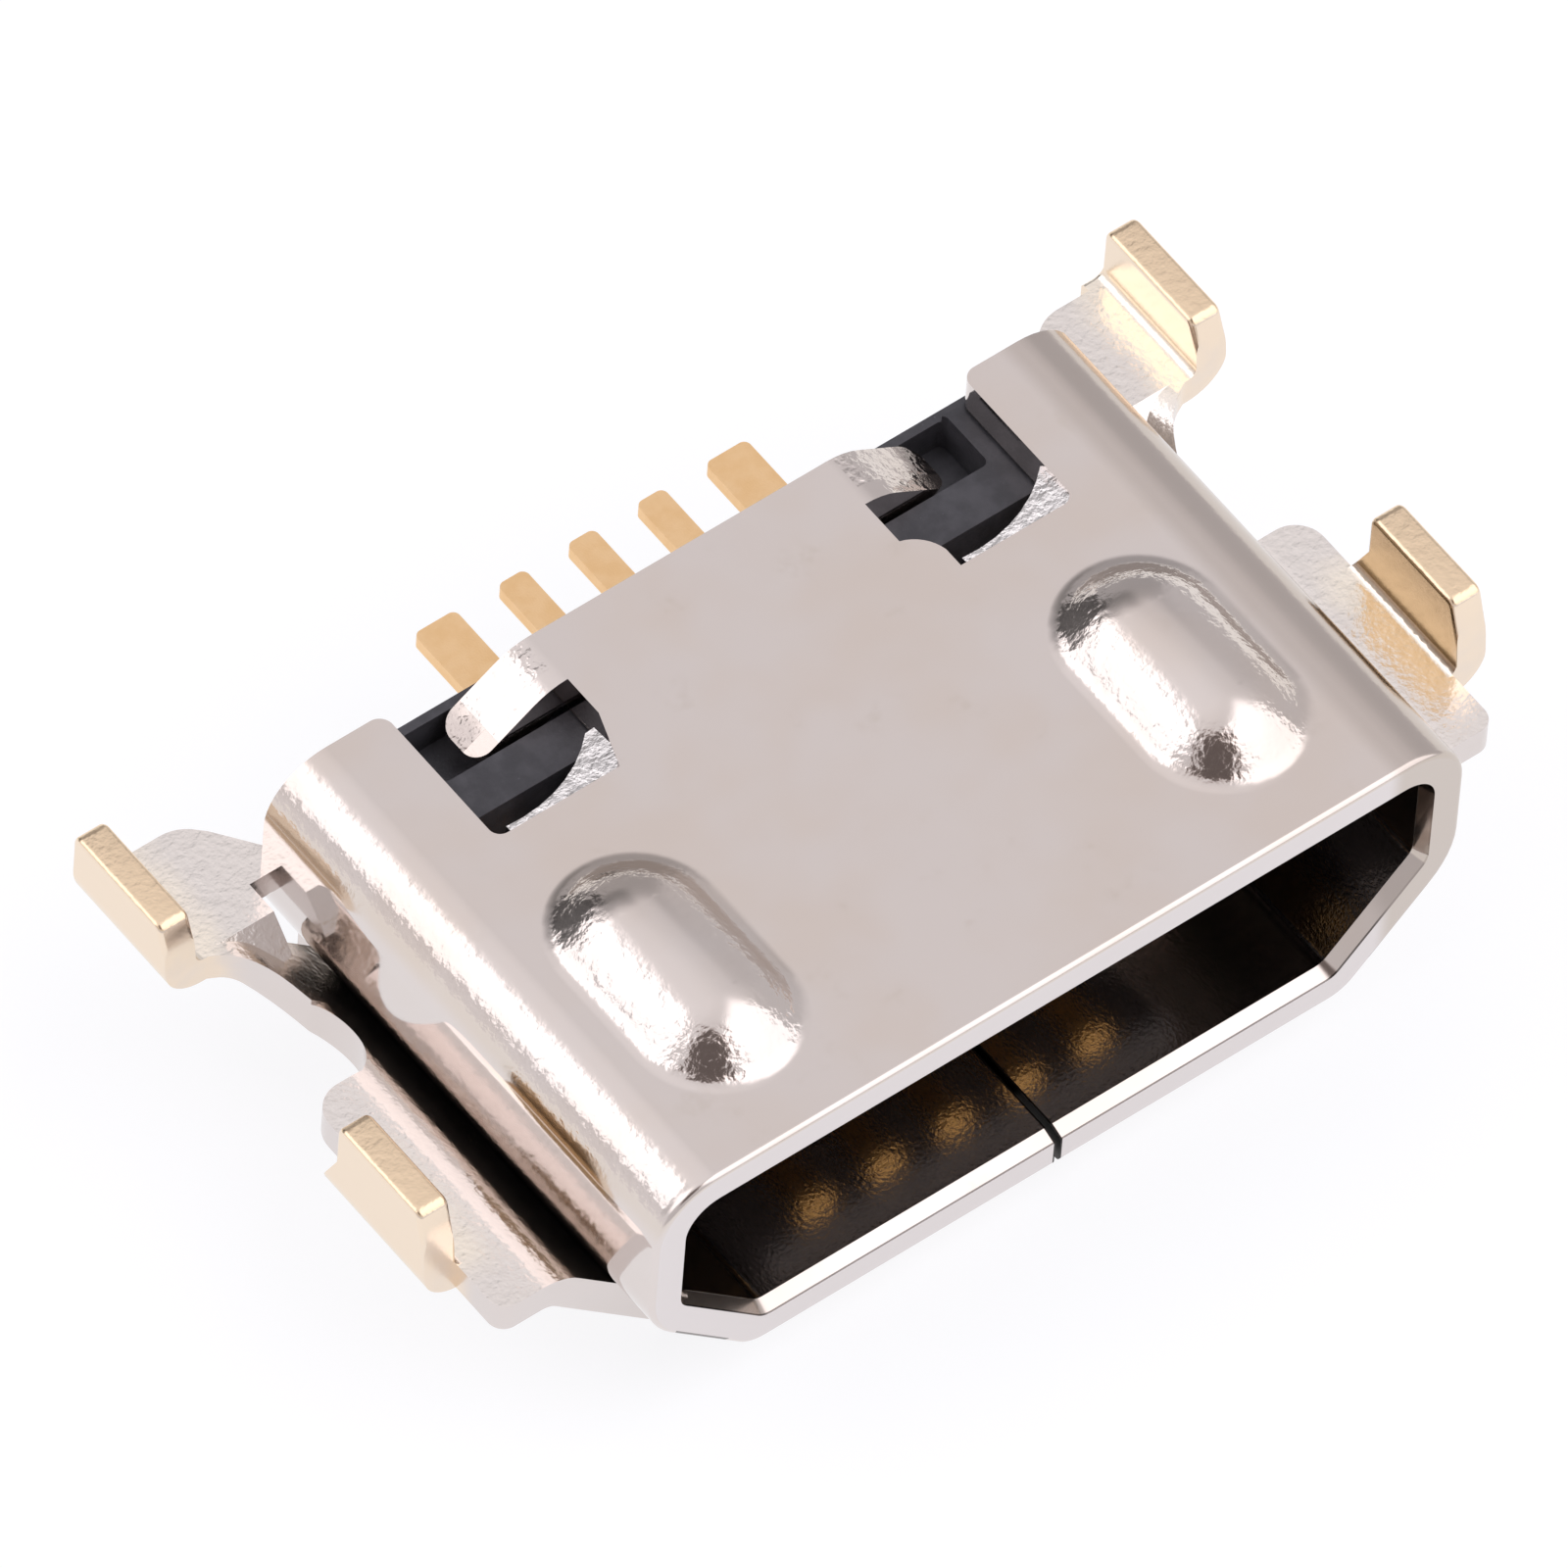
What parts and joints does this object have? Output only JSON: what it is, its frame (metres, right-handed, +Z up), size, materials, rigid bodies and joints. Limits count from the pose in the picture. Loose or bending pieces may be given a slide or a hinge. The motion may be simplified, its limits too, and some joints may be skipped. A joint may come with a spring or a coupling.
{
  "type": "phone charging port",
  "caption": "Surface-mount phone charging socket with a rolled nickel-plated steel shell, D-shaped opening, black insulator, gold-plated tails and upturned solder tabs.",
  "frame": {"origin": "on the flat underside of the mounting bracket, on the centre plane, midway between the front and the rear solder tabs", "axes": "+X across the opening, +Y from the opening to the rear, +Z up from the underside to the domed face"},
  "size_m": [0.01, 0.0058, 0.0031],
  "materials": {
    "nickel_plate": "satin nickel plate",
    "gold_plate": "matte gold plate",
    "insulator_black": "moulded satin black"
  },
  "bodies": {
    "root": {"shell": "nickel_plate", "mounting_bracket": "nickel_plate", "insulator": "insulator_black", "contact_1": "gold_plate", "contact_2": "gold_plate", "contact_3": "gold_plate", "contact_4": "gold_plate", "contact_5": "gold_plate"}
  },
  "joints": []
}
